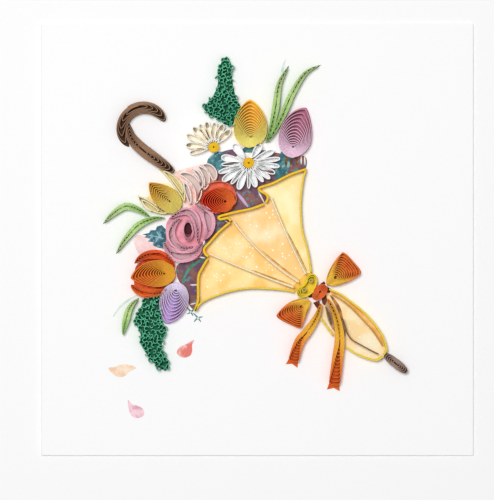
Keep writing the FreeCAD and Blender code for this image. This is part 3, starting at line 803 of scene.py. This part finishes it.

# Print on the card, and painted shade by the knot, between the tails and beside the ribs

upperRib = arcPlaces((4.9, 14.3), (10.0, 2.5), (17.0, -12.0), 16)
middleRib = arcPlaces((-8.3, 6.3), (1.1, -4.5), (14.3, -14.9), 16)
lowerRib = arcPlaces((-16.5, -5.2), (-2.5, -11.2), (12.3, -16.9), 16)
canopyPanels = {
    "canopyFirst": {
        "shape": [
            (17.3, 24.6), (11.6, 22.7), (5.6, 19.7), (0.9, 18.2), (1.2, 17.2), (3.2, 15.8), (3.8, 14.4),
            (3.4, 13.2), *upperRib, (19.1, -11.9), (18.7, -9.1), (17.3, -2.0), (15.9, 3.3), (15.3, 10.3),
            (15.5, 15.6), (16.2, 20.9)],
        "tones": ("fff6c8", "fbe6a0"), "dotShare": 0.95},
    "canopySecond": {
        "shape": [
            (3.2, 13.0), (-2.5, 10.8), (-7.8, 9.7), (-13.2, 7.9), (-12.9, 7.1), (-9.9, 7.5), (-9.0, 6.3),
            *middleRib, *upperRib[::-1]],
        "tones": ("ffebc0", "fbd28c"), "dotShare": 0.15},
    "canopyThird": {
        "shape": [
            (-9.0, 6.3), (-13.1, 2.9), (-16.6, -1.0), (-18.7, -3.4), (-18.5, -4.9), (-17.2, -5.8), *lowerRib,
            *middleRib[::-1]],
        "tones": ("ffe7ac", "fbce7c"), "dotShare": 0.1},
    "canopyFourth": {
        "shape": [
            (-17.2, -5.8), (-19.1, -9.8), (-20.5, -12.6), (-20.8, -16.1), (-20.8, -21.4), (-21.9, -25.3),
            (-20.1, -22.8), (-16.6, -20.7), (-9.5, -18.3), (-2.5, -17.2), (4.6, -17.4), (9.9, -17.9),
            (13.8, -18.4), (16.0, -16.0), *lowerRib[::-1]],
        "tones": ("ffe8a8", "fbd078"), "dotShare": 0.15},
}
canopyWash = {"layer": 2, "slot": "yellow_paper", "dots": ("fffaea", 1.15)}  # the dots' tone and spacing
for name, look in canopyPanels.items():
    layPrint(name, {**canopyWash, **look})

grounds = {
    "ground": {
        "shape": [
            (-15.2, 28.7), (-11.3, 31.2), (-6.0, 31.9), (1.8, 31.5), (7.4, 30.4), (13.0, 29.6), (17.0, 29.2),
            (17.4, 25.4), (14.0, 21.0), (6.0, 14.0), (-6.0, 6.0), (-14.0, -2.0), (-16.0, -10.0),
            (-18.0, -19.0), (-21.6, -24.6), (-24.0, -23.0), (-25.2, -18.2), (-27.9, -14.0), (-28.3, -9.4),
            (-24.6, -7.0), (-19.4, -3.0), (-18.0, 0.4), (-15.6, 4.7), (-16.2, 10.3), (-15.2, 15.3),
            (-14.2, 20.9)],
        "smooth": 4, "layer": 1, "tones": ("6a4a68", "8a6058"), "patch": 2.2, "third": ("5e8a94", 0.62),
        "slot": "mauve_paper"},
    "point": {
        "shape": [
            (25.4, -17.6), (29.3, -19.3), (32.8, -21.8), (36.3, -24.6), (39.9, -28.1), (42.7, -31.7),
            (44.5, -34.8), (45.5, -38.4), (44.5, -41.2), (41.6, -42.6), (38.1, -41.7), (34.6, -40.1),
            (30.7, -37.7), (27.2, -34.1), (24.3, -30.6), (22.6, -27.4), (23.3, -22.5)],
        "layer": 2, "tones": ("fff4d2", "fde0a6"), "dots": ("fffcf4", 1.1), "dotShare": 0.15,
        "slot": "yellow_paper"},
    # painted shade: a grey-brown wedge where shade falls between the bow's tails
    "pointShade": {
        "shape": [
            (24.0, -22.1), (26.1, -22.1), (28.2, -25.3), (30.3, -29.2), (31.4, -33.1), (30.3, -34.8),
            (27.2, -32.4), (25.0, -28.5)],
        "smooth": 6, "layer": 3, "tones": ("c8b08a", "a08c6c"), "patch": 3.0, "slot": "brown_paper"},
}
for name, look in grounds.items():
    layPrint(name, look)

roundAngles = [math.tau * i / 12 for i in range(12)]
flowerGrounds = {
    "roseGround": {
        "shape": [
            (-21.9, 11.9), (-17.5, 11.0), (-14.8, 7.7), (-14.6, 5.0), (-16.6, 1.5), (-19.0, -1.1),
            (-19.0, -4.7), (-21.9, -7.3), (-26.3, -8.2), (-30.7, -6.4), (-32.5, -2.9), (-32.0, -0.3),
            (-32.2, 4.1), (-31.1, 7.2), (-27.6, 9.9), (-24.1, 10.8)],
        "tones": ("f6aebe", "e096a6"), "slot": "rose_paper"},
    "orangeGround": {
        "shape": [
            (-42.6, -9.4), (-39.2, -7.0), (-36.0, -6.3), (-32.0, -7.6), (-29.2, -10.4), (-28.8, -13.4),
            (-31.4, -17.2), (-35.0, -18.4), (-39.0, -18.8), (-43.0, -16.8), (-43.2, -13.2)],
        "tones": ("dc5a2c", "a83c1c"), "slot": "red_orange_paper"},
    "yellowGround": {
        "shape": [
            (-32.6, 19.8), (-29.8, 18.8), (-26.4, 14.0), (-26.6, 10.4), (-30.0, 8.8), (-35.6, 10.6),
            (-40.2, 13.8), (-38.4, 15.2), (-37.4, 18.0)],
        "tones": ("fff8d4", "f0e0a0"), "slot": "pale_yellow_paper"},
    "roseCentre": {
        "shape": [(-24.2 + 1.7 * math.cos(angle), 3.6 + 2.0 * math.sin(angle)) for angle in roundAngles],
        "tones": ("4a1022", "32070f"), "slot": "rose_paper", "layer": 8},
    "blushGround": {
        "shape": [
            (-29.0, 23.5), (-23.6, 25.4), (-17.9, 26.4), (-14.6, 24.4), (-14.2, 21.3), (-16.2, 19.5),
            (-19.2, 17.0), (-21.0, 13.4), (-22.3, 10.3), (-25.4, 10.8), (-25.6, 14.7), (-26.3, 18.3),
            (-28.6, 21.3)],
        "tones": ("fdeae4", "f6c4b8"), "slot": "blush_paper", "layer": 3},
}
for name, look in flowerGrounds.items():
    layPrint(name, {"smooth": 5, "patch": 2.4, "layer": 4, **look})

lonePrints = {
    "tealLeaf": {
        "shapes": [
            [(-17.6, 27.3), (-15.5, 30.1), (-12.3, 30.8), (-10.9, 28.0), (-12.3, 24.4), (-15.9, 23.7)],
            [(6.7, 20.9), (6.4, 25.1), (8.1, 30.1), (9.9, 32.2), (12.0, 30.8), (11.6, 25.8), (9.5, 22.3)],
            [(-6.0, 30.8), (-3.2, 32.9), (-0.4, 31.5), (-1.1, 28.7), (-4.6, 28.7)]],
        "smooth": 5, "layer": 2, "tones": ("4f8790", "2f6570"), "patch": 2.2, "third": ("86b4b8", 0.6),
        "slot": "green_paper"},
    "jaggedLeaf": {
        "shape": [
            (-40.4, 1.7), (-38.1, 2.2), (-37.5, 3.2), (-35.8, 3.2), (-35.3, 4.5), (-33.6, 5.0), (-32.0, 3.3),
            (-32.0, -0.3), (-32.9, -3.4), (-35.1, -2.9), (-36.8, -2.1), (-36.5, -1.1), (-38.5, -0.8),
            (-37.7, 0.2), (-39.7, 0.7), (-38.9, 1.3)],
        "layer": 3, "tones": ("467c8c", "2c5a6a"), "patch": 1.8, "third": ("7aa8b4", 0.6),
        "slot": "green_paper"},
    "gather": {
        "shape": [
            (19.3, -11.6), (17.0, -12.0), (14.3, -14.9), (12.3, -16.9), (13.4, -18.6), (16.2, -18.6),
            (18.5, -16.5), (19.8, -13.5)],
        "layer": 3, "tones": ("f4cc5c", "e8b848"), "patch": 1.5, "slot": "yellow_paper"},
    # painted shade: dark brown patches in the gaps around the knot
    "knotShade": {
        "shapes": [
            [(19.8, -22.4), (22.0, -21.6), (22.3, -23.2), (21.3, -24.6), (20.6, -23.6)],
            [(24.0, -16.4), (26.0, -17.4), (25.7, -19.0), (24.2, -18.8)],
            [(22.2, -15.8), (23.6, -14.8), (24.2, -15.6), (23.4, -16.6)],
            [(22.8, -20.6), (24.4, -19.6), (24.8, -21.4), (23.9, -23.4), (23.0, -22.6)],
            [(17.6, -19.6), (19.8, -18.9), (19.6, -20.6), (18.4, -20.6)]],
        "layer": 4, "tones": ("5a2410", "7a3a1a"), "patch": 1.5, "slot": "brown_paper"},
    "pinkWash": {
        "shape": [
            (-43.4, -1.3), (-42.4, 1.4), (-39.4, 1.0), (-36.6, -0.6), (-35.6, -3.6), (-37.4, -6.0),
            (-41.4, -5.4)],
        "smooth": 6, "layer": 1, "tones": ("fbe8e8", "f6d4d6"), "patch": 3.0, "slot": "white_card"},
    "pointBand": {
        "shape": [
            (25.4, -17.6), (29.3, -19.3), (32.8, -21.8), (36.3, -24.6), (39.9, -28.1), (42.7, -31.7),
            (44.5, -34.8), (45.4, -38.2), (44.1, -37.4), (42.0, -34.1), (39.9, -31.3), (36.3, -27.4),
            (32.8, -23.9), (29.3, -21.1), (26.3, -19.5)],
        "layer": 3, "tones": ("fbd48a", "f0b860"), "patch": 3.0, "slot": "yellow_paper"},
}
for name, look in lonePrints.items():
    layPrint(name, look)

strokes = {
    "greenStem": {
        "lines": [[(-17.6, -6.6), (-20.8, -8.0), (-23.6, -10.1), (-25.4, -13.0), (-26.5, -16.1)]],
        "width": 1.0, "tones": ("2f7a62", "4f9a7c")},
    "lilacStem": {
        "lines": [[(-7.4, 16.7), (-5.3, 14.2), (-3.2, 11.4)]], "width": 1.1, "tones": ("b9a0d0", "c9b4dc")},
    "ribEnds": {
        "lines": [
            [(0.4, 17.0), (2.6, 12.8)], [(-12.0, 7.1), (-10.2, 5.9)], [(-20.8, -6.1), (-17.8, -6.8)],
            [(-23.6, -16.1), (-20.8, -16.1)], [(-23.6, -23.0), (-21.5, -22.5)]],
        "width": 0.5, "tones": ("f6f0ee", "e6dcdc")},
    "faintGrass": {
        "lines": [
            [(-50.8, -27.4), (-48.3, -23.9), (-44.8, -21.1), (-41.3, -19.3)],
            [(10.2, 63.6), (8.8, 59.0), (8.5, 55.5)]],
        "width": 0.8, "tones": ("e2eeea", "cfe2dc")},
    "sprigs": {
        "lines": [
            [(-25.0, -23.9), (-23.6, -25.3), (-22.6, -27.1)],
            [(-22.6, -26.0), (-20.8, -27.8), (-19.8, -29.2)],
            [(-24.7, -26.4), (-22.9, -25.3), (-21.5, -23.5)],
            [(-19.1, -27.4), (-20.8, -27.8), (-22.2, -29.2)]],
        "width": 0.6, "tones": ("3f7a78", "5f9a92")},
    "leafVeins": {
        "lines": [
            [(-32.8, 0.2), (-35.4, 0.9), (-38.6, 1.5)], [(-34.2, 0.6), (-35.4, 2.8)],
            [(-34.6, 0.6), (-36.0, -1.2)]],
        "width": 0.35, "tones": ("a8ccd4", "86b4c0")},
    # painted shadow: brown strokes beside each rib, where its shadow falls
    "ribShadows": {
        "lines": [
            [(10.9, 2.2), (14.4, -4.6), (17.6, -11.2)], [(1.8, -4.0), (8.4, -9.6), (15.0, -14.4)],
            [(-1.9, -10.8), (5.4, -13.6), (12.6, -16.2)]],
        "width": 0.6, "tones": ("c08c44", "dcb468")},
    "brownStems": {
        "lines": [[(10.4, 30.2), (10.2, 25.4)], [(12.2, 30.4), (12.0, 25.4)], [(14.0, 30.0), (14.2, 25.9)]],
        "width": 1.0, "tones": ("b48c50", "5a4028")},
    "tailFold": {
        "lines": [[(25.8, -19.8), (28.6, -24.0), (30.2, -28.6)]], "width": 1.3,
        "tones": ("8c5c30", "c08a44")},
    "paleStems": {
        "lines": [[(15.6, 29.6), (15.6, 26.4)], [(16.8, 29.4), (16.9, 26.2)]], "width": 0.5,
        "tones": ("f4eee6", "d8ccc0")},
}
for name, look in strokes.items():
    layPrint(name, {"layer": 4, "patch": 2.0, "slot": "white_card", **look})

fallenPetals = {
    "coralPetal": {
        "shape": [
            (-22.2, -35.5), (-22.9, -37.3), (-22.9, -39.8), (-24.0, -41.4), (-26.1, -41.7), (-27.9, -40.8),
            (-28.3, -39.8), (-27.2, -38.0), (-25.0, -37.0)],
        "tones": ("f8c8c0", "e67c74")},
    "peachPetal": {
        "shape": [
            (-42.7, -45.4), (-45.2, -46.8), (-46.6, -48.2), (-49.0, -48.6), (-51.2, -47.2), (-52.4, -45.4),
            (-50.4, -45.1), (-48.0, -44.2), (-45.2, -44.2)],
        "tones": ("fbe8d2", "f4ccac")},
    "pinkPetal": {
        "shape": [
            (-45.5, -56.7), (-44.1, -58.1), (-42.0, -58.8), (-40.2, -59.9), (-40.0, -62.0), (-42.0, -63.1),
            (-44.1, -62.4), (-45.2, -60.2)],
        "tones": ("f8d6de", "e2a4b8")},
}
for name, look in fallenPetals.items():
    layPrint(name, {"smooth": 6, "layer": 1, "patch": 2.4, "slot": "white_card", **look})
print("print laid")

# Collar and bow

collarLook = {
    "spine": [(19.1, -12.1), (18.6, -16.3), (14.0, -18.9)], "width": 4.6, "ends": (0.4, 0.4), "fullness": 3.0,
    "turns": 3, "inner": 0.7, "seam": 0.25, "start": "ffe42e", "end": "fce034", "well": "f0d03c",
}
rollPiece("collarLoop", collarLook, "collar_loop")
beadLook = {
    "width": 1.9, "turns": 4, "seam": 0.25, "steps": 24, "thickness": 0.2, "start": "ccb850", "end": "c4b058",
    "well": "b09c48",
}
beadReach = 0.85
for node, (x, y) in {"collar_bead_upper": (18.9, -14.6), "collar_bead_lower": (16.5, -17.9)}.items():
    look = {**beadLook, "spine": [(x - beadReach, y), (x + beadReach, y)]}
    rollPiece(pieceName(node), look, node)

knotLook = {
    "spine": [(19.8, -21.1), (24.3, -16.3)], "width": 4.6, "turns": 6, "seam": 0.25, "steps": 36,
    "thickness": 0.25, "start": "ff7c40", "end": "fc6c34", "well": "d05420",
}
bowPaper = {
    "widest": 0.94, "ends": (0.62, 0.25), "fullness": 1.6, "core": (0.3, 0.0), "turns": 13, "hold": 1.25,
    "relax": True, "loose": 1.05, "seam": 0.0, "steps": 64, "thickness": 0.22, "start": "ffc848",
    "end": "ff8838", "well": "cc4e18", "ground": "f08c34", "wallShade": 0.9,
}
upperLoop = {
    **bowPaper, "spine": [(24.7, -16.0), (34.0, -7.8)], "width": 10.2,
    "toneRun": ((26.8, -14.2), (32.2, -9.4)),
}
lowerLoop = {
    **bowPaper, "spine": [(18.6, -21.7), (14.0, -25.1), (10.8, -29.7)], "width": 9.8,
    "toneRun": ((17.0, -22.9), (12.4, -27.2)),
}
tailPaper = {
    "widest": 0.93, "ends": (0.6, 0.2), "seam": 0.0, "steps": 56, "thickness": 0.13, "start": "ffc040",
    "end": "ff8438", "well": "d05414", "ground": "dc6c20", "wallShade": 0.95,
}
leftTail = {
    **tailPaper, "spine": [(22.5, -22.6), (21.0, -27.4), (17.8, -32.4), (14.8, -36.4), (12.6, -43.5)],
    "width": 3.8, "turns": 12, "fork": 1.9, "toneRun": ((19.2, -30.2), (13.4, -41.0)),
}
rightTail = {
    **tailPaper, "spine": [(24.9, -20.9), (28.0, -27.8), (29.1, -34.8), (28.4, -41.9), (27.1, -52.0)],
    "width": 4.1, "turns": 13, "fork": 2.0, "toneRun": ((28.8, -33.0), (27.6, -49.0)),
}
rollPiece("bowKnot", knotLook, "bow_knot_coil")
rollPiece("bowUpperLoop", upperLoop, "bow_loop_upper")
rollPiece("bowLowerLoop", lowerLoop, "bow_loop_lower")
rollPiece("bowLeftTail", leftTail, "bow_tail_left")
rollPiece("bowRightTail", rightTail, "bow_tail_right")
print("bow rolled")

# Furled point

pointStrips = {
    "point_edge_right": {
        "line": [
            (25.4, -17.6), (29.3, -19.3), (32.8, -21.8), (36.3, -24.6), (39.9, -28.1), (42.7, -31.7),
            (44.5, -34.8), (45.5, -38.3), (45.3, -39.4), (44.7, -40.5)]},
    "point_edge_left": {"line": [(22.4, -27.8), (24.3, -30.6), (26.6, -33.7)], "tone": "f4d434"},
    "point_edge_lower": {
        "line": [(31.2, -37.9), (34.6, -40.1), (38.1, -41.7), (41.6, -42.6), (43.3, -42.0), (44.3, -41.2)]},
    "point_fold_right": {
        "line": [
            (26.3, -19.5), (29.3, -21.1), (32.8, -23.9), (36.3, -27.4), (39.9, -31.3), (42.0, -34.1),
            (44.1, -37.4)],
        "thickness": 0.4, "tone": "c89a4c"},
    "point_fold_brown": {
        "line": [
            (30.2, -28.1), (31.1, -31.0), (31.9, -33.4), (33.5, -35.4), (36.7, -37.3), (40.2, -39.2),
            (42.7, -40.4)],
        "thickness": 0.4, "tone": "8a5a35", "well": "8a6434", "slot": "brown_paper"},
    "point_fold_left": {
        "line": [(24.2, -23.9), (25.2, -27.0), (26.1, -30.0)], "thickness": 0.35, "tone": "8a5a35",
        "well": "8a6434", "slot": "brown_paper"},
}
pointPaper = {"thickness": 0.6, "tone": "f6d834", "well": "e4b44c", "slot": "yellow_paper"}
for node, own in pointStrips.items():
    look = {**pointPaper, **own}
    stripPiece(node, look["line"], look)
print("point folded")

# Card

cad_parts["card"].material_slots[0].material = cardStock("white card stock", "fbfbfc")

# Table, light and camera

studio = {"tableSize": 6.0, "tableTone": "fafafb", "lighting": 0.3, "seen": 0.97}  # the world's strengths
pickNothing()
bpy.ops.mesh.primitive_plane_add(size=studio["tableSize"], location=(0, 0, 0))
table = bpy.context.object
table.name = "table"
bpy.ops.object.mode_set(mode="EDIT")
bpy.ops.mesh.subdivide(number_cuts=3)
bpy.ops.object.mode_set(mode="OBJECT")
table.data.materials.append(cardStock("pale table board", studio["tableTone"]))

world = bpy.data.worlds.new("studio")
bpy.context.scene.world = world
world.use_nodes = True
worldTree = world.node_tree
worldTree.nodes.clear()
rays = addNode(worldTree, "LightPath").outputs["Is Camera Ray"]
strength = addNode(worldTree, "MapRange", {}, {
    "Value": rays, "To Min": studio["lighting"], "To Max": studio["seen"]})
sky = addNode(worldTree, "Background", {}, {
    "Color": (1.0, 1.0, 1.0, 1.0), "Strength": strength.outputs["Result"]})
addNode(worldTree, "OutputWorld", {}, {"Surface": sky.outputs["Background"]})

lamps = {
    "keyLamp": {"place": (-0.2, 0.2, 1.1), "size": 0.4, "power": 8.9, "tint": (1.0, 0.99, 0.98)},
    "fillLamp": {"place": (0.6, -0.3, 0.9), "size": 0.9, "power": 1.2, "tint": (0.98, 0.99, 1.0)},
}
for name, look in lamps.items():
    light = bpy.data.lights.new(name, "AREA")
    light.size = look["size"]
    light.energy = look["power"]
    light.color = look["tint"]
    lamp = bpy.data.objects.new(name, light)
    bpy.context.collection.objects.link(lamp)
    lamp.location = look["place"]
    x, y, z = look["place"]
    lamp.rotation_euler = (math.atan2(math.hypot(x, y), z), 0.0, math.atan2(y, x) + math.pi / 2)

view = {"centre": (-3.53, -3.79), "distance": 1000.0, "frameHeight": 176.4, "sensor": 36.0}  # mm
cameraData = bpy.data.cameras.new("camera")
camera = bpy.data.objects.new("camera", cameraData)
bpy.context.collection.objects.link(camera)
camera.location = (view["centre"][0] * mm, view["centre"][1] * mm, (view["distance"] + cardTop) * mm)
camera.rotation_euler = (0.0, 0.0, 0.0)
cameraData.sensor_width = view["sensor"]
cameraData.lens = view["sensor"] * view["distance"] / view["frameHeight"]
cameraData.clip_end = 20.0
bpy.context.scene.camera = camera
bpy.context.scene.view_settings.view_transform = "Standard"

print("scene ready")
